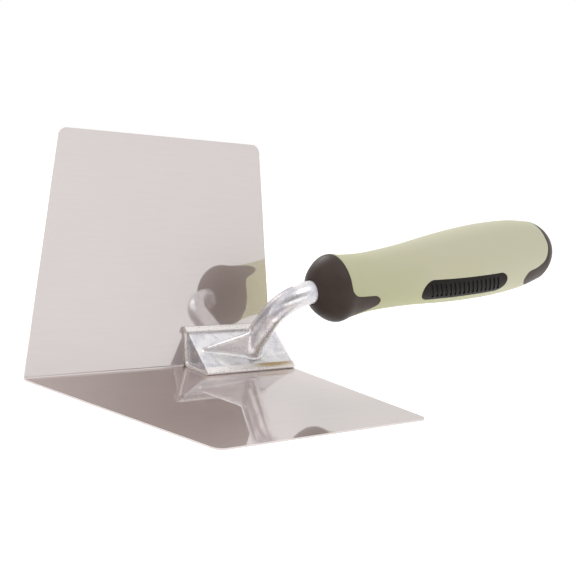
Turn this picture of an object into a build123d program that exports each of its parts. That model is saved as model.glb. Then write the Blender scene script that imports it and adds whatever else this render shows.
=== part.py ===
from build123d import *
import math
import os

# Inside corner trowel for plasterboard joints: a bent stainless blade, a pressed steel bracket
# welded in its fold, a cast aluminium wedge with a swan-neck tang, and a moulded two-colour handle.
#
# It is modelled upright on its plane of symmetry: X runs along the fold towards the handle, Z along
# the bisector of the two wings, and Y across. At the end it is tipped until one wing lies flat, with
# the origin at the bottom centre of the whole tool. Millimetres.

# Blade
FOLD_LENGTH = 127.0
WING_WIDTH = 101.6
FOLD_ANGLE = 103.0
BLADE_THICKNESS = 0.6
FOLD_RADIUS = 1.5
FRONT_INSET = 20.0
REAR_INSET = 2.0
CORNER_RADIUS = 4.0

# Bracket: a folded channel with its free edges hooked back over the casting
BRACKET_LENGTH = 50.0
BRACKET_LEG = 19.2
BRACKET_THICKNESS = 1.2
BRACKET_LIP = 5.0
HEEL_RADIUS = 3.0
LIP_RADIUS = 0.9

# Casting: wedge held under the bracket's lips, gusset and tang
FIT_GAP = 0.05
WEDGE_TOP = 10.7
WEDGE_SET_BACK = 1.3
WEDGE_EDGE_RADIUS = 0.5
TANG_RADIUS = 5.25
TANG_X = 107.0
TANG_BEND_START = 33.15
TANG_BEND_RADIUS = 16.0
TANG_IN_HANDLE = 55.0
TANG_FLAT_LENGTH = 30.0
TANG_FLAT_WIDTH = 8.0
ROOT_RADIUS = 6.6
ROOT_HEIGHT = 5.0
ROOT_SINK = 1.0
GUSSET_FRONT = 81.5
GUSSET_START = 12.7
GUSSET_TOP = 24.9
GUSSET_EDGE = 1.2

# Handle: distance along its axis from the collar's front, and radius across
HANDLE_ANGLE = 12.4
HANDLE_START = 0.5
HANDLE_LENGTH = 144.0
HANDLE_OUTLINE = [
    (3.5, 11.1),
    (10.0, 15.3),
    (17.5, 14.3),
    (30.0, 13.5),
    (50.0, 14.4),
    (75.0, 16.8),
    (98.0, 17.95),
    (118.0, 17.3),
    (132.0, 15.0),
    (140.4, 8.7),
]
NOSE_RADIUS = 5.8
BUTT_FLAT = 2.0
GRIP_THICKNESS = 2.6
CORE_FRONT = 4.0
CORE_REAR = 132.0
CORE_WALL = 2.4
CAVITY_START = 62.0
SPIGOT_LENGTH = 6.0
SPIGOT_RADIUS = 8.8

# Dark mouldings: a plain ring at each end with a rounded tongue along each side
COLLAR_EDGE = 11.0
COLLAR_TONGUE_TIP = 29.0
COLLAR_TONGUE_HEIGHT = 8.4
COLLAR_TONGUE_RISE = 1.4
CAP_EDGE = 131.0
CAP_TONGUE_TIP = 115.7
CAP_TONGUE_HEIGHT = 12.0
CAP_TONGUE_RISE = 2.5
TONGUE_FILLET = 4.0
INLAY_LENGTH = 50.0
INLAY_HEIGHT = 11.0
INLAY_DEPTH = 1.2
INLAY_CENTRE = 77.5
INLAY_RISE = 3.2

HALF_ANGLE = math.radians(FOLD_ANGLE / 2)
WING_Y = math.sin(HALF_ANGLE)
WING_Z = math.cos(HALF_ANGLE)
BRACKET_START = FOLD_LENGTH - BRACKET_LENGTH

# How far the trimming tools reach past what they cut
BIG = 60.0


def wing_point(along, outward=0.0, side=1):
    """A point of the fold's cross-section, along one wing and out through its outer face."""
    return (side * (along * WING_Y + outward * WING_Z), along * WING_Z - outward * WING_Y)


def along_fold(outline, start, length):
    """A prism along the fold with the given cross-section."""
    return extrude(Plane.YZ.offset(start) * make_face(outline), length)


def edges_on_fold(solid):
    return solid.edges().filter_by(Axis.X)


def make_blade():
    """One sheet with a single bend; each wing's ends slope in towards its outer edge."""
    t = BLADE_THICKNESS
    inner_ends = wing_point(WING_WIDTH, 0, -1), wing_point(WING_WIDTH)
    outer_ends = wing_point(WING_WIDTH, t, -1), wing_point(WING_WIDTH, t)
    inside = FilletPolyline(inner_ends[0], (0, 0), inner_ends[1], radius=FOLD_RADIUS)
    outside = FilletPolyline(outer_ends[0], (0, -t / WING_Y), outer_ends[1], radius=FOLD_RADIUS + t)
    outline = [inside, outside, Line(inside @ 0, outside @ 0), Line(inside @ 1, outside @ 1)]
    sheet = along_fold(outline, 0, FOLD_LENGTH)
    wing = Plane((0, 0, 0), x_dir=(1, 0, 0), z_dir=(0, -WING_Z, WING_Y))
    far = WING_WIDTH + BIG
    front_far = FRONT_INSET * far / WING_WIDTH
    rear_far = FOLD_LENGTH - REAR_INSET * far / WING_WIDTH
    beyond = FOLD_LENGTH + BIG
    front = Polyline((-BIG, 0), (0, 0), (front_far, far), (-BIG, far), close=True)
    rear = Polyline((beyond, 0), (FOLD_LENGTH, 0), (rear_far, far), (beyond, far), close=True)
    for outline in (front, rear):
        cutter = extrude(wing * make_face(outline), 3 * t, both=True)
        sheet = sheet - cutter - mirror(cutter, Plane.XZ)
    through_edges = sheet.edges().filter_by(lambda edge: math.isclose(edge.length, t, rel_tol=0.01))
    corners = through_edges.sort_by(Axis.Z)[-4:]
    return fillet(corners, CORNER_RADIUS)


def make_bracket():
    """A channel with its back in the fold and a hooked lip along each free edge."""
    corner = wing_point(BRACKET_LEG)
    tip = corner[0] - BRACKET_LIP
    under = corner[1] - BRACKET_THICKNESS
    crook = (under * WING_Y - BRACKET_THICKNESS) / WING_Z
    heel_inside = BRACKET_THICKNESS / WING_Y
    half = [(tip, corner[1]), corner, (0, 0)]
    inner = [(0, heel_inside), (crook, under), (tip, under)]
    points = half + [(-y, z) for y, z in half[1::-1]] + [(-y, z) for y, z in inner[:0:-1]] + inner
    channel = along_fold(Polyline(*points, close=True), BRACKET_START, BRACKET_LENGTH)
    heels = edges_on_fold(channel).sort_by(Axis.Z)
    channel = fillet(heels[0], HEEL_RADIUS)
    inner_heel = [e for e in edges_on_fold(channel) if abs(e.center().Y) < 0.01]
    channel = fillet(inner_heel, HEEL_RADIUS - BRACKET_THICKNESS)
    lips = edges_on_fold(channel).sort_by(Axis.Y)
    return fillet([lips[0], lips[-1]], LIP_RADIUS)


def tang_path():
    """Up from the wedge along the bisector, then over to the handle's axis."""
    rise = Line((TANG_X, WEDGE_TOP - ROOT_SINK), (TANG_X, TANG_BEND_START))
    bend = JernArc(rise @ 1, (0, 1), TANG_BEND_RADIUS, HANDLE_ANGLE - 90)
    run = Line(bend @ 1, bend @ 1 + (bend % 1) * (HANDLE_START + TANG_IN_HANDLE))
    return rise, bend, run


def handle_plane():
    """Origin at the front of the collar, Z along the handle, X away from the fold."""
    run = tang_path()[2]
    start = run @ 0 + (run % 0) * HANDLE_START
    lean = math.radians(HANDLE_ANGLE)
    away = (-math.sin(lean), 0, math.cos(lean))
    axis = (math.cos(lean), 0, math.sin(lean))
    return Plane((start.X, 0, start.Y), x_dir=away, z_dir=axis)


def make_gusset():
    """A fin from the front of the wedge up to the tang, thick at its foot and thin at its ridge."""
    edge = GUSSET_EDGE / 2
    foot = WEDGE_TOP - ROOT_SINK
    base = Polyline(
        (GUSSET_FRONT, -edge, foot),
        (GUSSET_FRONT, edge, foot),
        (TANG_X, ROOT_RADIUS, foot),
        (TANG_X, -ROOT_RADIUS, foot),
        close=True,
    )
    ridge = Polyline(
        (GUSSET_FRONT, -edge, GUSSET_START),
        (GUSSET_FRONT, edge, GUSSET_START),
        (TANG_X, edge, GUSSET_TOP),
        (TANG_X, -edge, GUSSET_TOP),
        close=True,
    )
    return loft([make_face(base), make_face(ridge)], ruled=True)


def make_casting():
    """Wedge in the channel, gusset, flared root and swan-neck tang, all one casting."""
    inset = BRACKET_THICKNESS + FIT_GAP
    half_top = (WEDGE_TOP * WING_Y - inset) / WING_Z
    outline = Polyline((0, inset / WING_Y), (half_top, WEDGE_TOP), (-half_top, WEDGE_TOP), close=True)
    wedge = along_fold(outline, BRACKET_START + WEDGE_SET_BACK, BRACKET_LENGTH)
    keel = edges_on_fold(wedge).sort_by(Axis.Z)[0]
    wedge = fillet(keel, HEEL_RADIUS - BRACKET_THICKNESS)
    end_rims = wedge.edges().group_by(Axis.Z)[-1].filter_by(Axis.Y)
    wedge = fillet(end_rims, WEDGE_EDGE_RADIUS)
    path = Plane.XZ * Wire(tang_path())
    start = tang_path()[0] @ 0
    tang = sweep(Pos(start.X, 0, start.Y) * Circle(TANG_RADIUS), path=path)
    upright = (Align.CENTER, Align.CENTER, Align.MIN)
    root = Pos(TANG_X, 0, WEDGE_TOP) * Cone(ROOT_RADIUS, TANG_RADIUS, ROOT_HEIGHT, align=upright)
    return wedge + make_gusset() + root + tang - handle_plane() * tang_flats()


def tang_flats():
    """What is taken off the tang's buried end so that the handle can't turn on it."""
    depth = TANG_IN_HANDLE - TANG_FLAT_LENGTH / 2
    slab = Box(BIG, BIG, TANG_FLAT_LENGTH) - Box(BIG, TANG_FLAT_WIDTH, TANG_FLAT_LENGTH)
    return Pos(0, 0, depth) * slab


def handle_form():
    """The handle's outer form about its own axis, with a round butt."""
    nose = (NOSE_RADIUS, 0)
    tip = (BUTT_FLAT, HANDLE_LENGTH)
    points = [(r, a) for a, r in HANDLE_OUTLINE]
    body = Spline(nose, *points[:-1])
    butt = ThreePointArc(points[-2], points[-1], tip)
    edge = Polyline(tip, (0, HANDLE_LENGTH), (0, 0), nose)
    return revolve(Plane.XZ * make_face([body, butt, edge]), Axis.Z)


def inner_form(depth, start, end):
    """The form at a depth below the handle's surface, between two flat ends."""
    points = [(r - depth, a) for a, r in HANDLE_OUTLINE[:-1]]
    curve = Spline(*points)
    edge = Polyline(points[-1], (0, points[-1][1]), (0, points[0][1]), points[0])
    return revolve(Plane.XZ * make_face([curve, edge]), Axis.Z) & slug(start, end)


def side_zone(edge, tip, height, rise, end):
    """The space of a dark moulding, seen from the side: past the edge plane, and in the tongue."""
    ring = Pos(0, (edge + end) / 2) * Rectangle(BIG, abs(end - edge))
    middle = (edge + tip + math.copysign(height, end - edge)) / 2
    tongue = Pos(rise, middle) * Rot(Z=90) * SlotOverall(abs(edge - tip) + height, height)
    outline = ring + tongue
    roots = [v for v in outline.vertices() if math.isclose(v.Y, edge, abs_tol=0.01) and abs(v.X) < height]
    return extrude(Plane.XZ * fillet(roots, TONGUE_FILLET), BIG, both=True)


def slug(start, end, radius=BIG):
    """A round slug on the handle's axis."""
    return Pos(0, 0, start) * Cylinder(radius, end - start, align=(Align.CENTER, Align.CENTER, Align.MIN))


def make_handle():
    """Core, collar, cap, soft grip and two side inlays, about the handle's own axis."""
    form = handle_form()
    inner = inner_form(GRIP_THICKNESS, CORE_FRONT, CORE_REAR)
    cavity = inner_form(GRIP_THICKNESS + CORE_WALL, CAVITY_START, CORE_REAR)
    bore = slug(-BIG, TANG_IN_HANDLE, TANG_RADIUS)
    core = inner - cavity - (bore - tang_flats())
    skin = form - inner - bore
    collar_zone = side_zone(COLLAR_EDGE, COLLAR_TONGUE_TIP, COLLAR_TONGUE_HEIGHT, COLLAR_TONGUE_RISE, -BIG)
    cap_zone = side_zone(CAP_EDGE, CAP_TONGUE_TIP, CAP_TONGUE_HEIGHT, CAP_TONGUE_RISE, HANDLE_LENGTH + BIG)
    inlay_place = Pos(INLAY_RISE, 0, INLAY_CENTRE) * Rot(X=90) * Rot(Z=90)
    inlay_outline = inlay_place * SlotOverall(INLAY_LENGTH, INLAY_HEIGHT)
    rim = form - inner_form(INLAY_DEPTH, CORE_FRONT, CORE_REAR)
    inlays = extrude(inlay_outline, BIG, both=True) & rim
    spigot = slug(CORE_REAR - SPIGOT_LENGTH, CORE_REAR, SPIGOT_RADIUS)
    pieces = {
        "handle_core": core,
        "front_collar": skin & collar_zone,
        "end_cap": (form & cap_zone) - (inner - spigot),
        "grip_sleeve": skin - collar_zone - cap_zone - inlays,
    }
    sides = inlays.solids().sort_by(Axis.Y)
    pieces["side_inlay_upper"] = sides[0]
    pieces["side_inlay_lower"] = sides[-1]
    return {name: handle_plane() * piece for name, piece in pieces.items()}


def at_rest(pieces):
    """Tip the tool until one wing lies flat, and put the origin at the bottom centre of its box."""
    tipped = {name: Rot(X=90 - FOLD_ANGLE / 2) * piece for name, piece in pieces.items()}
    box = Compound([solid for piece in tipped.values() for solid in piece.solids()]).bounding_box()
    centre = box.center()
    return {name: Pos(-centre.X, -centre.Y, -box.min.Z) * piece for name, piece in tipped.items()}


pieces = {"blade": make_blade(), "mount_bracket": make_bracket(), "tang_casting": make_casting()}
pieces.update(make_handle())
os.makedirs("parts", exist_ok=True)
for name, piece in at_rest(pieces).items():
    export_step(piece, f"parts/{name}.step")
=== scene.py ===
import math

import bmesh
import bpy
from mathutils import Matrix, Vector


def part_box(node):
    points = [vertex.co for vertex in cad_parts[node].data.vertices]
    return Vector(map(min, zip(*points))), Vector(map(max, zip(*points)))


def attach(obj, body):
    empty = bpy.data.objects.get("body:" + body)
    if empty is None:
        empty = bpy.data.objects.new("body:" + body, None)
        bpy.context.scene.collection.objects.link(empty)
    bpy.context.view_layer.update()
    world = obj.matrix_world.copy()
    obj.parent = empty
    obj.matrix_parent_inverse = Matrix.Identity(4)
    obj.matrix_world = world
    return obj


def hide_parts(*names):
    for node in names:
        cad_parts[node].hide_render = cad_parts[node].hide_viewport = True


# An inside corner trowel: a bent stainless blade, a pressed steel bracket in its fold, a cast
# aluminium swan-neck tang, and a handle of sage soft grip with dark mouldings.

MM = 0.001

# Blade and tool frame: s runs along the fold from its front end, h up the bisector of the wings,
# n across it towards the lower wing
WING_WIDTH = 101.6
BLADE_THICKNESS = 0.6
FOLD_ANGLE = 103.0

# Bracket
BRACKET_START = 77.0
BRACKET_LENGTH = 50.0
BRACKET_LEG = 19.2
BRACKET_THICKNESS = 1.2
BRACKET_LIP = 5.0
HEEL_RADIUS = 3.0
LIP_RADIUS = 0.9
SHEARED_EDGE = 0.18
WELD_POSITIONS = (85, 102, 119)
WELD_OUT = 8.5
WELD_RADII = (0.0026,) * 3
HEAT_TINT_S = 115
HEAT_TINT_ACROSS = 10.3
HEAT_TINT_RADII = (0.016, 0.003, 0.003)

# Casting
TANG_S = 107.0
TANG_RADIUS = 5.25
TANG_BEND_START = 33.15
TANG_BEND_RADIUS = 16.0
WEDGE_TOP = 10.7
VOXEL = 0.0005
# the part of the casting that is smoothed most: its gusset and the tang's root
BLEND_START = 80
BLEND_PAST_TANG = 12
BLEND_TOP = 34
BLEND_HALF_WIDTH = 9
BLEND_DEPTH = 0.4
BLEND_PASSES = 14

# Handle: distance from the collar's front along its axis, and radius
HANDLE_ANGLE = 12.4
HANDLE_START = 0.5
HANDLE_LENGTH = 144.0
NOSE_RADIUS = 5.8
BUTT_FLAT = 2.0
HANDLE_OUTLINE = [
    (0, NOSE_RADIUS), (3.5, 11.1), (10, 15.3), (17.5, 14.3), (30, 13.5), (50, 14.4),
    (75, 16.8), (98, 17.95), (118, 17.3), (132, 15.0),
]
BUTT_SHOULDER = (140.4, 8.7)
BUTT_STEPS = 16
SKIN_STEPS = 160
INNER_STEPS = 96
BORE_STEPS = 64
BORE_DEPTH = 60
BORE_CLEARANCE = 0.05
# how far the cutters reach past the handle's ends, and to each side of its axis
PAST_END = 10
SIDE_REACH = 40.0
GRIP_THICKNESS = 2.6
SEAM_GAP = 0.15
CORE_FRONT = 4.0
CORE_REAR = 132.0

# Side outlines of the dark mouldings: distance along the axis, height above it
COLLAR_LINE = [
    (11.2, 20), (11.5, 14), (11.5, 12), (12.2, 10), (15.5, 7.6), (22, 6.2), (26.5, 5.2), (29, 2.6),
    (28, -0.6), (23.3, -3), (16.5, -5.2), (12.6, -9), (11.4, -13), (11.2, -20),
]
CAP_LINE = [
    (131, 20), (131.4, 15), (131.6, 13), (130.6, 10.6), (128.3, 8.1), (123, 6.6), (117.6, 5.9),
    (115.8, 3.6), (115.8, 1), (117.5, -2), (121.5, -5.5), (127, -9), (130.4, -13), (131, -20),
]
INLAY_LENGTH = 50.0
INLAY_HEIGHT = 11.0
INLAY_DEPTH = 1.2
INLAY_CENTRE = 77.5
INLAY_RISE = 3.2
INLAY_GAP = 0.12
RIB_PITCH = 2.6
RIB_WIDTH = 1.1
RIB_DEPTH = 0.5
RIB_LEAN = 24.0
RIB_MARGIN = 3

# Studio: places and sizes in metres, light in watts
FLOOR_RADIUS = 4.0
ROOM_LIGHT = 1.0
KEY_PLACE, KEY_SIZE, KEY_LIGHT = (-0.25, -0.55, 0.9), 0.7, 2.2
# behind the upper wing, on the handle's far side, which the wing reflects
RIM_PLACE, RIM_SIZE, RIM_LIGHT = (0.05, 0.6, 0.45), 0.3, 1.6
LIGHT_AIM = (0, 0, 0.04)
GREY_WALL = (-0.66, -0.74, 0.1)
DARK_FLAG = (0.621, -0.485, 0.616)

# Camera: azimuth, elevation and roll in degrees, place from the fold's front end in millimetres
CAMERA_TURN = (-41.506, 8.413, 6.164)
CAMERA_PLACE = (-189.12, -363.87, 106.14)
CAMERA_LENS = 64.98

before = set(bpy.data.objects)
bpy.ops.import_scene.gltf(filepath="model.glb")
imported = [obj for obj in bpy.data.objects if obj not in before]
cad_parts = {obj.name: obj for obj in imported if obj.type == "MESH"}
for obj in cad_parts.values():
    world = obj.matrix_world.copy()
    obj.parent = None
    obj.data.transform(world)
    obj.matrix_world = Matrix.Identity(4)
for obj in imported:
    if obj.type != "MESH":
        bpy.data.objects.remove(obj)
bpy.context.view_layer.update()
blade_low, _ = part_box("blade")
FOLD_FRONT = Vector((blade_low.x, blade_low.y + WING_WIDTH * MM, BLADE_THICKNESS * MM))
TILT = math.radians(90 - FOLD_ANGLE / 2)
ALONG = Vector((1, 0, 0))
BISECTOR = Vector((0, -math.sin(TILT), math.cos(TILT)))
ACROSS = Vector((0, -math.cos(TILT), -math.sin(TILT)))


def tool_frame():
    """Matrix from (s, -n, h) millimetres, which are right-handed, to the row's metres."""
    axes = Matrix((ALONG, -ACROSS, BISECTOR)).transposed() * MM
    return Matrix.Translation(FOLD_FRONT) @ axes.to_4x4()


def handle_frame():
    """Matrix from the handle's millimetres, Z along it and X away from the fold, to metres."""
    a = math.radians(HANDLE_ANGLE)
    s = TANG_S + TANG_BEND_RADIUS * (1 - math.sin(a)) + HANDLE_START * math.cos(a)
    h = TANG_BEND_START + TANG_BEND_RADIUS * math.cos(a) + HANDLE_START * math.sin(a)
    axis = ALONG * math.cos(a) + BISECTOR * math.sin(a)
    rise = BISECTOR * math.cos(a) - ALONG * math.sin(a)
    turn = (Matrix((rise, axis.cross(rise), axis)).transposed() * MM).to_4x4()
    return Matrix.Translation(FOLD_FRONT + (ALONG * s + BISECTOR * h) * MM) @ turn


# ---- mesh helpers ----


def smooth_line(points, steps=8):
    """Points of a smooth line through the given ones."""
    padded = [points[0], *points, points[-1]]
    line = []
    for before, start, end, after in zip(padded, padded[1:], padded[2:], padded[3:]):
        for i in range(steps):
            t = i / steps
            line.append(tuple(
                0.5 * (2 * p1 + (p2 - p0) * t + (2 * p0 - 5 * p1 + 4 * p2 - p3) * t**2
                       + (3 * p1 - p0 - 3 * p2 + p3) * t**3)
                for p0, p1, p2, p3 in zip(before, start, end, after)
            ))
    return line + [tuple(points[-1])]


def new_piece(name, bm, place=None):
    """An object at the origin from a bmesh, with its place in its mesh."""
    if place is not None:
        bm.transform(place)
    mesh = bpy.data.meshes.new(name)
    bm.to_mesh(mesh)
    bm.free()
    piece = bpy.data.objects.new(name, mesh)
    bpy.context.scene.collection.objects.link(piece)
    return piece


def turned(outline, steps=SKIN_STEPS):
    """A solid turned about Z from (distance, radius) points, closed on the axis at its ends."""
    bm = bmesh.new()
    first = [(outline[0][0], 0)] * (outline[0][1] > 0)
    last = [(outline[-1][0], 0)] * (outline[-1][1] > 0)
    verts = [bm.verts.new((r, 0, a)) for a, r in (*first, *outline, *last)]
    edges = [bm.edges.new(pair) for pair in zip(verts, verts[1:])]
    bmesh.ops.spin(
        bm, geom=verts + edges, cent=(0, 0, 0), axis=(0, 0, 1), angle=math.tau, steps=steps,
        use_merge=True,
    )
    bmesh.ops.remove_doubles(bm, verts=bm.verts, dist=0.0005)
    bmesh.ops.recalc_face_normals(bm, faces=bm.faces)
    return bm


def swept(corners, way):
    """A solid swept from a flat face, given by its corners, along a vector."""
    bm = bmesh.new()
    face = bm.faces.new([bm.verts.new(corner) for corner in corners])
    made = bmesh.ops.extrude_face_region(bm, geom=[face])["geom"]
    moved = [v for v in made if isinstance(v, bmesh.types.BMVert)]
    bmesh.ops.translate(bm, verts=moved, vec=way)
    bmesh.ops.recalc_face_normals(bm, faces=bm.faces)
    return bm


def prism(outline):
    """A cutter through the handle from side to side, from (distance along, height) points."""
    return swept([(h, -SIDE_REACH, a) for a, h in outline], (0, 2 * SIDE_REACH, 0))


def cut(piece, tool_bm, operation):
    """Applies one boolean cut and throws the cutter away. Both are in the same frame."""
    tool = new_piece("cutter", tool_bm)
    step = piece.modifiers.new("cut", "BOOLEAN")
    step.operation = operation
    step.solver = "EXACT"
    step.object = tool
    apply_modifiers(piece)
    bpy.data.meshes.remove(tool.data)


def apply_modifiers(piece):
    """Puts the modifiers' result in the piece's own mesh."""
    graph = bpy.context.evaluated_depsgraph_get()
    mesh = bpy.data.meshes.new_from_object(piece.evaluated_get(graph))
    piece.modifiers.clear()
    old = piece.data
    piece.data = mesh
    mesh.name = piece.name
    bpy.data.meshes.remove(old)


def copy_of(piece, name):
    twin = bpy.data.objects.new(name, piece.data.copy())
    bpy.context.scene.collection.objects.link(twin)
    return twin


def shade(piece, sharp_angle=35.0):
    """Smooth shading, with edges sharper than an angle in degrees kept sharp."""
    piece.data.shade_smooth()
    piece.data.set_sharp_from_angle(angle=math.radians(sharp_angle))


def finish_piece(piece, material, slot, *nodes):
    piece.data.materials.clear()
    piece.data.materials.append(material)
    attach(piece, "root")
    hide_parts(*nodes)


# ---- materials ----


def colour(hex_code):
    """An sRGB hex colour as linear RGBA."""
    parts = [int(hex_code[i:i + 2], 16) / 255 for i in (1, 3, 5)]
    return (*[c / 12.92 if c <= 0.04045 else ((c + 0.055) / 1.055) ** 2.4 for c in parts], 1)


def add(tree, kind, inputs=None, stops=(), **settings):
    """Adds one node. Inputs are values or sockets to link from; stops are a colour ramp's."""
    made = tree.nodes.new(kind)
    for key, value in settings.items():
        setattr(made, key, value)
    for key, value in (inputs or {}).items():
        if isinstance(value, bpy.types.NodeSocket):
            tree.links.new(value, made.inputs[key])
        else:
            made.inputs[key].default_value = value
    if stops:
        elements = made.color_ramp.elements
        while len(elements) < len(stops):
            elements.new(0.5)
        for element, (place, value) in zip(elements, stops):
            element.position = place
            element.color = value if isinstance(value, tuple) else (value, value, value, 1)
    return made


def material(name):
    """A new material, its node tree, its shader and its Object coordinates."""
    made = bpy.data.materials.new(name)
    made.use_nodes = True
    tree = made.node_tree
    place = add(tree, "ShaderNodeTexCoord").outputs["Object"]
    return made, tree, tree.nodes["Principled BSDF"], place


def polished_stainless():
    """Cold-rolled stainless sheet, bright polished: a clear mirror over a veil of fine haze."""
    made, tree, shader, place = material("polished_stainless_sheet")
    # rolling haze about 1 mm wide, drawn out along the fold
    stretched = add(tree, "ShaderNodeMapping", {"Vector": place, "Scale": (0.06, 1, 1)})
    haze = add(tree, "ShaderNodeTexNoise", {
        "Vector": stretched.outputs["Vector"], "Scale": 900.0, "Detail": 3.0,
    }).outputs["Fac"]
    veil = add(tree, "ShaderNodeValToRGB", {"Fac": haze}, [(0.3, 0.53), (0.7, 0.47)])
    tree.links.new(veil.outputs["Color"], shader.inputs["Roughness"])
    cloud = add(tree, "ShaderNodeTexNoise", {"Vector": place, "Scale": 16.0, "Detail": 2.0})
    sheet = add(tree, "ShaderNodeValToRGB", {"Fac": cloud.outputs["Fac"]}, [
        (0.3, colour("#C1B1AD")), (0.7, colour("#C7B7B2")),
    ])
    # weld marks: three straw-tinted dimples along each wing, under the bracket
    marks = weld_marks(tree, place)
    straw = add(tree, "ShaderNodeValToRGB", {"Fac": marks}, [
        (0.0, 0.0), (0.35, 0.5), (0.6, 0.25),
    ])
    tint = add(tree, "ShaderNodeMix", {
        "Factor": straw.outputs["Color"], "A": sheet.outputs["Color"], "B": colour("#8C7448"),
    }, data_type="RGBA")
    tree.links.new(tint.outputs["Result"], shader.inputs["Base Color"])
    dimple = add(tree, "ShaderNodeBump", {
        "Height": marks, "Strength": 0.5, "Distance": 0.0003,
    }, invert=True)
    rolled = add(tree, "ShaderNodeBump", {
        "Height": haze, "Strength": 0.01, "Distance": 0.0001, "Normal": dimple.outputs["Normal"],
    })
    tree.links.new(rolled.outputs["Normal"], shader.inputs["Normal"])
    shader.inputs["Metallic"].default_value = 1.0
    # the polish: a coat with a metal's strength of reflection over the hazy base
    shader.inputs["Coat Weight"].default_value = 1.0
    shader.inputs["Coat Roughness"].default_value = 0.03
    shader.inputs["Coat IOR"].default_value = 4.4
    return made


def weld_marks(tree, place):
    """1 at the middle of each spot weld, falling to 0 at its rim."""
    half = math.radians(FOLD_ANGLE / 2)
    total = None
    for across in (-ACROSS, ACROSS):
        wing = BISECTOR * math.cos(half) + across * math.sin(half)
        for s in WELD_POSITIONS:
            middle = FOLD_FRONT + (ALONG * s + wing * WELD_OUT) * MM
            mark = patch_at(tree, place, middle, WELD_RADII)
            total = mark if total is None else add(
                tree, "ShaderNodeMath", {0: total, 1: mark}, operation="ADD"
            ).outputs["Value"]
    return total


def patch_at(tree, place, middle, radii):
    """1 at a point, falling to 0 at the given distances from it along each axis. Metres."""
    near = add(tree, "ShaderNodeMapping", {
        "Vector": place,
        "Location": tuple(-m / r for m, r in zip(middle, radii)),
        "Scale": tuple(1 / r for r in radii),
    }).outputs["Vector"]
    patch = add(tree, "ShaderNodeTexGradient", {"Vector": near}, gradient_type="SPHERICAL")
    return patch.outputs["Fac"]


def pressed_steel():
    """Zinc-flashed pressed strip: bright, scuffed, with straw-coloured heat tint by the welds."""
    made, tree, shader, place = material("pressed_bracket_steel")
    # 0.7 mm scuffs
    scuff = add(tree, "ShaderNodeTexNoise", {
        "Vector": place, "Scale": 1400.0, "Detail": 4.0,
    }).outputs["Fac"]
    base = add(tree, "ShaderNodeValToRGB", {"Fac": scuff}, [
        (0.34, colour("#CFC6C3")), (0.42, colour("#EEE8E5")), (0.7, colour("#F8F5F3")),
    ])
    # heat tint along the inner edge of the lip on the lower wing
    lip_height = BRACKET_LEG * math.cos(math.radians(FOLD_ANGLE / 2))
    lip = ALONG * HEAT_TINT_S + ACROSS * HEAT_TINT_ACROSS + BISECTOR * lip_height
    patch = patch_at(tree, place, FOLD_FRONT + lip * MM, HEAT_TINT_RADII)
    broken = add(tree, "ShaderNodeMath", {0: patch, 1: scuff}, operation="MULTIPLY")
    amount = add(tree, "ShaderNodeValToRGB", {"Fac": broken.outputs["Value"]}, [
        (0.06, 0.0), (0.3, 0.85),
    ])
    mixed = add(tree, "ShaderNodeMix", {
        "Factor": amount.outputs["Color"], "A": base.outputs["Color"], "B": colour("#A88443"),
    }, data_type="RGBA")
    tree.links.new(mixed.outputs["Result"], shader.inputs["Base Color"])
    worn = add(tree, "ShaderNodeValToRGB", {"Fac": scuff}, [(0.3, 0.5), (0.7, 0.3)])
    tree.links.new(worn.outputs["Color"], shader.inputs["Roughness"])
    dents = add(tree, "ShaderNodeBump", {"Height": scuff, "Strength": 0.12, "Distance": 0.0002})
    tree.links.new(dents.outputs["Normal"], shader.inputs["Normal"])
    shader.inputs["Metallic"].default_value = 0.5
    return made


def cast_aluminium():
    """Die-cast aluminium as it leaves the die: bright oxide skin, faint flow marks, fine pits."""
    made, tree, shader, place = material("die_cast_aluminium")
    # 8 mm flow marks and 0.9 mm pits
    flow = add(tree, "ShaderNodeTexNoise", {
        "Vector": place, "Scale": 130.0, "Detail": 5.0, "Distortion": 0.8,
    }).outputs["Fac"]
    grain = add(tree, "ShaderNodeTexNoise", {
        "Vector": place, "Scale": 1100.0, "Detail": 3.0,
    }).outputs["Fac"]
    tone = add(tree, "ShaderNodeValToRGB", {"Fac": flow}, [
        (0.3, colour("#CFCED6")), (0.5, colour("#E6E4E7")), (0.7, colour("#F6F4F3")),
    ])
    pits = add(tree, "ShaderNodeValToRGB", {"Fac": grain}, [(0.34, 0.3), (0.44, 0.0)])
    mixed = add(tree, "ShaderNodeMix", {
        "Factor": pits.outputs["Color"], "A": tone.outputs["Color"], "B": colour("#96959A"),
    }, data_type="RGBA")
    tree.links.new(mixed.outputs["Result"], shader.inputs["Base Color"])
    gloss = add(tree, "ShaderNodeValToRGB", {"Fac": flow}, [(0.35, 0.34), (0.65, 0.18)])
    tree.links.new(gloss.outputs["Color"], shader.inputs["Roughness"])
    waves = add(tree, "ShaderNodeBump", {"Height": flow, "Strength": 0.2, "Distance": 0.0005})
    skin = add(tree, "ShaderNodeBump", {
        "Height": grain, "Strength": 0.15, "Distance": 0.00015, "Normal": waves.outputs["Normal"],
    })
    tree.links.new(skin.outputs["Normal"], shader.inputs["Normal"])
    shader.inputs["Metallic"].default_value = 0.7
    return made


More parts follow.
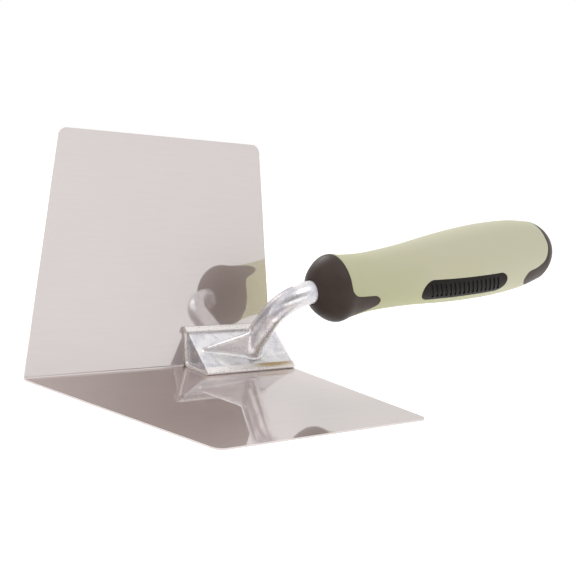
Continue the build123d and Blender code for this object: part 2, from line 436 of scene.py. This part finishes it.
def moulded_dark(name, dark, light, roughness):
    """Injection-moulded dark plastic whose fine spark-eroded texture softens its highlight."""
    made, tree, shader, place = material(name)
    cloud = add(tree, "ShaderNodeTexNoise", {"Vector": place, "Scale": 90.0, "Detail": 3.0})
    tone = add(tree, "ShaderNodeValToRGB", {"Fac": cloud.outputs["Fac"]}, [
        (0.3, colour(dark)), (0.7, colour(light)),
    ])
    tree.links.new(tone.outputs["Color"], shader.inputs["Base Color"])
    # 0.36 mm grain
    grain = add(tree, "ShaderNodeTexNoise", {
        "Vector": place, "Scale": 2800.0, "Detail": 2.0,
    }).outputs["Fac"]
    gloss = add(tree, "ShaderNodeValToRGB", {"Fac": grain}, [
        (0.3, roughness + 0.06), (0.7, roughness - 0.06),
    ])
    tree.links.new(gloss.outputs["Color"], shader.inputs["Roughness"])
    bump = add(tree, "ShaderNodeBump", {"Height": grain, "Strength": 0.2, "Distance": 0.0001})
    tree.links.new(bump.outputs["Normal"], shader.inputs["Normal"])
    shader.inputs["Specular IOR Level"].default_value = 0.12
    return made


def sage_soft_grip():
    """Sage thermoplastic rubber, matt and faintly mottled, with painted shade: darker and greener
    towards the front and underside.
    """
    made, tree, shader, place = material("sage_soft_grip")
    low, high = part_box("grip_sleeve")
    reach = high - low
    # painted shade: the tone runs lighter towards the rear and top, darker and greener towards the
    # front and underside
    start = add(tree, "ShaderNodeVectorMath", {0: place, 1: tuple(low)}, operation="SUBTRACT")
    painted_shade_share = add(tree, "ShaderNodeVectorMath", {
        0: start.outputs["Vector"], 1: (0.55 / reach.x, 0, 0.75 / reach.z),
    }, operation="DOT_PRODUCT")
    cloud = add(tree, "ShaderNodeTexNoise", {"Vector": place, "Scale": 38.0, "Detail": 2.0})
    mottle_and_painted_shade = add(tree, "ShaderNodeMath", {
        0: cloud.outputs["Fac"], 1: 0.5, 2: painted_shade_share.outputs["Value"],
    }, operation="MULTIPLY_ADD")
    tone = add(tree, "ShaderNodeValToRGB", {"Fac": mottle_and_painted_shade.outputs["Value"]}, [
        (0.3, colour("#B1B28A")), (0.75, colour("#BBB99A")), (1.0, colour("#BFBCA3")),
    ])
    tree.links.new(tone.outputs["Color"], shader.inputs["Base Color"])
    # 0.42 mm grain
    grain = add(tree, "ShaderNodeTexNoise", {
        "Vector": place, "Scale": 2400.0, "Detail": 2.0,
    }).outputs["Fac"]
    dull = add(tree, "ShaderNodeValToRGB", {"Fac": grain}, [(0.3, 0.72), (0.7, 0.58)])
    tree.links.new(dull.outputs["Color"], shader.inputs["Roughness"])
    bump = add(tree, "ShaderNodeBump", {"Height": grain, "Strength": 0.22, "Distance": 0.00012})
    tree.links.new(bump.outputs["Normal"], shader.inputs["Normal"])
    return made


def studio_white():
    """Matt white paper, lit until it prints white except right under the tool."""
    made, _, shader, _ = material("white_paper_floor")
    shader.inputs["Base Color"].default_value = colour("#F2F2F2")
    shader.inputs["Roughness"].default_value = 0.9
    shader.inputs["Specular IOR Level"].default_value = 0.1
    shader.inputs["Emission Color"].default_value = colour("#FFFFFF")
    shader.inputs["Emission Strength"].default_value = 0.3
    return made


# ---- handle ----


def handle_outline():
    """The handle's outer outline: a smooth line, then a round butt with a small flat."""
    body = smooth_line(HANDLE_OUTLINE)
    start = HANDLE_OUTLINE[-1]
    end = (HANDLE_LENGTH, BUTT_FLAT)
    arc = arc_through(start, BUTT_SHOULDER, end, BUTT_STEPS)
    return body + arc[1:]


def arc_through(start, middle, end, steps):
    """Points of the circular arc through three points."""
    (ax, ay), (bx, by), (cx, cy) = start, middle, end
    d = 2 * (ax * (by - cy) + bx * (cy - ay) + cx * (ay - by))
    aa, bb, cc = ax**2 + ay**2, bx**2 + by**2, cx**2 + cy**2
    ux = (aa * (by - cy) + bb * (cy - ay) + cc * (ay - by)) / d
    uy = (aa * (cx - bx) + bb * (ax - cx) + cc * (bx - ax)) / d
    first = math.atan2(ay - uy, ax - ux)
    last = math.atan2(cy - uy, cx - ux)
    radius = math.hypot(ax - ux, ay - uy)
    angles = [first + (last - first) * i / steps for i in range(steps + 1)]
    return [(ux + radius * math.cos(t), uy + radius * math.sin(t)) for t in angles]


def inner_outline(depth):
    """The handle's outline at a depth below its surface, from end to end of the core."""
    return [(a, r - depth) for a, r in handle_outline() if CORE_FRONT <= a <= CORE_REAR]


def beyond(line, end):
    """A side outline closed round the end of the handle."""
    return [*smooth_line(line, 10), (end, line[-1][1]), (end, line[0][1])]


def pill(length, height, steps=16):
    """The inlay's round-ended outline seen from the side."""
    radius = height / 2
    straight = length / 2 - radius
    outline = []
    for i in range(2 * steps):
        t = math.tau * (i + 0.5) / (2 * steps)
        along = math.copysign(straight, math.sin(t)) + radius * math.sin(t)
        outline.append((INLAY_CENTRE + along, INLAY_RISE + radius * math.cos(t)))
    return outline


def make_handle():
    """Cuts the collar, cap and sleeve from one turned skin, and the inlays from a thinner one."""
    place = handle_frame()
    skin = new_piece("skin", turned(handle_outline()))
    cut(skin, turned(inner_outline(GRIP_THICKNESS), INNER_STEPS), "DIFFERENCE")
    bore = TANG_RADIUS + BORE_CLEARANCE
    cut(skin, turned([(-PAST_END, bore), (BORE_DEPTH, bore)], BORE_STEPS), "DIFFERENCE")
    collar = copy_of(skin, "front_collar_moulding")
    cut(collar, prism(beyond(COLLAR_LINE, -PAST_END)), "INTERSECT")
    cap = copy_of(skin, "end_cap_moulding")
    cut(cap, prism(beyond(CAP_LINE, HANDLE_LENGTH + PAST_END)), "INTERSECT")
    sleeve = copy_of(skin, "soft_grip_moulding")
    collar_seam = [(a + SEAM_GAP, rise) for a, rise in COLLAR_LINE]
    cap_seam = [(a - SEAM_GAP, rise) for a, rise in CAP_LINE]
    cut(sleeve, prism(beyond(collar_seam, -PAST_END)), "DIFFERENCE")
    cut(sleeve, prism(beyond(cap_seam, HANDLE_LENGTH + PAST_END)), "DIFFERENCE")
    rim = new_piece("rim", turned(handle_outline()))
    cut(rim, turned(inner_outline(INLAY_DEPTH), INNER_STEPS), "DIFFERENCE")
    inlays = copy_of(rim, "ribbed_inlays")
    cut(inlays, prism(pill(INLAY_LENGTH, INLAY_HEIGHT)), "INTERSECT")
    cut(inlays, outside(ribs(), RIB_DEPTH), "DIFFERENCE")
    window = prism(pill(INLAY_LENGTH + 2 * INLAY_GAP, INLAY_HEIGHT + 2 * INLAY_GAP))
    cut(sleeve, outside(window, INLAY_DEPTH + INLAY_GAP), "DIFFERENCE")
    for spare in (skin, rim):
        bpy.data.meshes.remove(spare.data)
    for piece in (collar, cap, sleeve, inlays):
        piece.data.transform(place)
        shade(piece)
    return collar, cap, sleeve, inlays


def mesh_copy(piece):
    bm = bmesh.new()
    bm.from_mesh(piece.data)
    return bm


def outside(bm, depth):
    """What is left of a cutter outside the form at a depth below the handle's surface."""
    piece = new_piece("outside", bm)
    cut(piece, turned(inner_outline(depth), INNER_STEPS), "DIFFERENCE")
    left = mesh_copy(piece)
    bpy.data.meshes.remove(piece.data)
    return left


def ribs():
    """The slanting grooves between the inlays' ribs, right through the handle."""
    bm = bmesh.new()
    count = int((INLAY_LENGTH - INLAY_HEIGHT) / RIB_PITCH)
    lean = Matrix.Rotation(math.radians(RIB_LEAN), 3, "Y")
    for i in range(count + 1):
        made = bmesh.ops.create_cube(bm, size=1.0)["verts"]
        along = (i - count / 2) * RIB_PITCH
        groove = (INLAY_HEIGHT - RIB_MARGIN, 2 * SIDE_REACH, RIB_WIDTH)
        bmesh.ops.scale(bm, verts=made, vec=groove)
        bmesh.ops.rotate(bm, verts=made, cent=(0, 0, 0), matrix=lean)
        bmesh.ops.translate(bm, verts=made, vec=(INLAY_RISE, 0, INLAY_CENTRE + along))
    return bm


# ---- bracket and casting ----


def rounded(corners, steps=5):
    """A closed outline whose (across, up, radius) corners are rounded."""
    outline = []
    previous, following = corners[-1:] + corners[:-1], corners[1:] + corners[:1]
    for before, (x, y, radius), after in zip(previous, corners, following):
        here = Vector((x, y))
        back = (Vector(before[:2]) - here).normalized()
        ahead = (Vector(after[:2]) - here).normalized()
        if not radius:
            outline.append(here)
            continue
        half = back.angle(ahead) / 2
        centre = here + (back + ahead).normalized() * radius / math.sin(half)
        first = here + back * radius / math.tan(half) - centre
        last = here + ahead * radius / math.tan(half) - centre
        start = math.atan2(first.y, first.x)
        turn = (math.atan2(last.y, last.x) - start + math.pi) % math.tau - math.pi
        for i in range(steps + 1):
            t = start + turn * i / steps
            outline.append(centre + Vector((math.cos(t), math.sin(t))) * radius)
    return outline


def make_bracket():
    """A folded channel with hooked lips, its sheared ends lightly rounded."""
    half = math.radians(FOLD_ANGLE / 2)
    wing_y, wing_z = math.sin(half), math.cos(half)
    edge, top = BRACKET_LEG * wing_y, BRACKET_LEG * wing_z
    under = top - BRACKET_THICKNESS
    crook = (under * wing_y - BRACKET_THICKNESS) / wing_z
    lip = edge - BRACKET_LIP
    side = [(edge, top, LIP_RADIUS), (lip, top, 0), (lip, under, 0), (crook, under, 0)]
    other = [(-y, z, r) for y, z, r in reversed(side)]
    inner_heel = (0, BRACKET_THICKNESS / wing_y, HEEL_RADIUS - BRACKET_THICKNESS)
    outline = rounded([*side, inner_heel, *other, (0, 0, HEEL_RADIUS)])
    bm = swept([(BRACKET_START, y, z) for y, z in outline], (BRACKET_LENGTH, 0, 0))
    rims = [e for e in bm.edges if e.verts[0].co.x == e.verts[1].co.x]
    bmesh.ops.bevel(
        bm, geom=rims, offset=SHEARED_EDGE, segments=2, profile=0.5, affect="EDGES", material=-1
    )
    piece = new_piece("bracket_pressing", bm, tool_frame())
    shade(piece)
    return piece


def make_casting():
    """The CAD casting with its gusset and tang run together in smooth cast fillets."""
    bm = bmesh.new()
    bm.from_mesh(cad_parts["tang_casting"].data)
    bmesh.ops.remove_doubles(bm, verts=bm.verts, dist=0.00001)
    piece = new_piece("swan_neck_casting", bm)
    remesh = piece.modifiers.new("skin", "REMESH")
    remesh.mode = "VOXEL"
    remesh.voxel_size = VOXEL
    apply_modifiers(piece)
    bm = mesh_copy(piece)
    to_tool = tool_frame().inverted()
    root = []
    for v in bm.verts:
        s, across, h = to_tool @ v.co
        if (
            BLEND_START < s < TANG_S + BLEND_PAST_TANG
            and WEDGE_TOP - BLEND_DEPTH < h < BLEND_TOP
            and abs(across) < BLEND_HALF_WIDTH
        ):
            root.append(v)
    for verts in [root] * BLEND_PASSES + [bm.verts]:
        bmesh.ops.smooth_vert(
            bm, verts=verts, factor=0.5, use_axis_x=True, use_axis_y=True, use_axis_z=True
        )
    bm.to_mesh(piece.data)
    bm.free()
    shade(piece, 60)
    return piece


# ---- studio ----


def make_studio():
    """A paper floor in a white room, a key softbox and a rim softbox."""
    bm = bmesh.new()
    bmesh.ops.create_circle(bm, cap_ends=True, segments=64, radius=FLOOR_RADIUS)
    floor = new_piece("paper_floor", bm)
    floor.data.materials.append(studio_white())
    bpy.context.scene.world = white_room()
    softbox("key_softbox", KEY_PLACE, KEY_SIZE, KEY_LIGHT)
    softbox("rim_softbox", RIM_PLACE, RIM_SIZE, RIM_LIGHT)


def softbox(name, stand, size, power):
    """A round area light aimed at the middle of the tool."""
    lamp = bpy.data.lights.new(name, "AREA")
    lamp.shape = "DISK"
    lamp.size = size
    lamp.energy = power
    light = bpy.data.objects.new(name, lamp)
    bpy.context.scene.collection.objects.link(light)
    light.location = stand
    aim = Vector(LIGHT_AIM) - light.location
    light.rotation_euler = aim.to_track_quat("-Z", "Y").to_euler()


def white_room():
    """White all round but for a grey wall and a dark flag, for bright metal to reflect."""
    world = bpy.data.worlds.new("white_room")
    world.use_nodes = True
    tree = world.node_tree
    way = add(tree, "ShaderNodeTexCoord").outputs["Generated"]
    # how squarely each way faces the wall and the flag, 1 at their middles
    wall, flag = (
        add(tree, "ShaderNodeVectorMath", {0: way, 1: middle}, operation="DOT_PRODUCT")
        for middle in (GREY_WALL, DARK_FLAG)
    )
    wall_tone = add(tree, "ShaderNodeValToRGB", {"Fac": wall.outputs["Value"]}, [
        (0.6, colour("#FFFFFF")), (0.95, colour("#767475")),
    ])
    flag_tone = add(tree, "ShaderNodeValToRGB", {"Fac": flag.outputs["Value"]}, [
        (0.93, 1.0), (0.972, 0.72), (0.986, 0.3), (0.994, 0.02),
    ])
    room = add(tree, "ShaderNodeVectorMath", {
        0: wall_tone.outputs["Color"], 1: flag_tone.outputs["Color"],
    }, operation="MULTIPLY")
    tree.links.new(room.outputs["Vector"], tree.nodes["Background"].inputs["Color"])
    tree.nodes["Background"].inputs["Strength"].default_value = ROOM_LIGHT
    return world


def make_camera():
    """Looks along the trowel from in front of its lower wing, a little above it, slightly rolled."""
    azimuth, elevation, roll = (math.radians(v) for v in CAMERA_TURN)
    back = Vector((
        math.sin(azimuth) * math.cos(elevation),
        -math.cos(azimuth) * math.cos(elevation),
        math.sin(elevation),
    ))
    right = (-back).cross(Vector((0, 0, 1))).normalized()
    up = back.cross(right)
    turned_right = right * math.cos(roll) + up * math.sin(roll)
    turned_up = up * math.cos(roll) - right * math.sin(roll)
    lens = bpy.data.cameras.new("camera")
    lens.sensor_width = 36.0
    lens.lens = CAMERA_LENS
    lens.clip_start = 0.01
    camera = bpy.data.objects.new("camera", lens)
    bpy.context.scene.collection.objects.link(camera)
    stand = FOLD_FRONT + Vector(CAMERA_PLACE) * MM
    turn = Matrix((turned_right, turned_up, back)).transposed().to_4x4()
    camera.matrix_world = Matrix.Translation(stand) @ turn
    bpy.context.scene.camera = camera


make_camera()
make_studio()
dark = moulded_dark("dark_moulded_rubber", "#413733", "#483E39", 0.42)
collar, cap, sleeve, inlays = make_handle()
finish_piece(collar, dark, "dark_plastic", "front_collar")
finish_piece(cap, dark, "dark_plastic", "end_cap")
finish_piece(sleeve, sage_soft_grip(), "soft_grip", "grip_sleeve")
black = moulded_dark("black_inlay_plastic", "#1A1614", "#211C1A", 0.42)
finish_piece(inlays, black, "inlay_plastic", "side_inlay_upper", "side_inlay_lower")
finish_piece(make_bracket(), pressed_steel(), "bracket_steel", "mount_bracket")
finish_piece(make_casting(), cast_aluminium(), "cast_aluminium", "tang_casting")
for name, made in (("blade", polished_stainless()), ("handle_core", dark)):
    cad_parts[name].data.materials.clear()
    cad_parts[name].data.materials.append(made)
bpy.context.scene.view_settings.view_transform = "Standard"
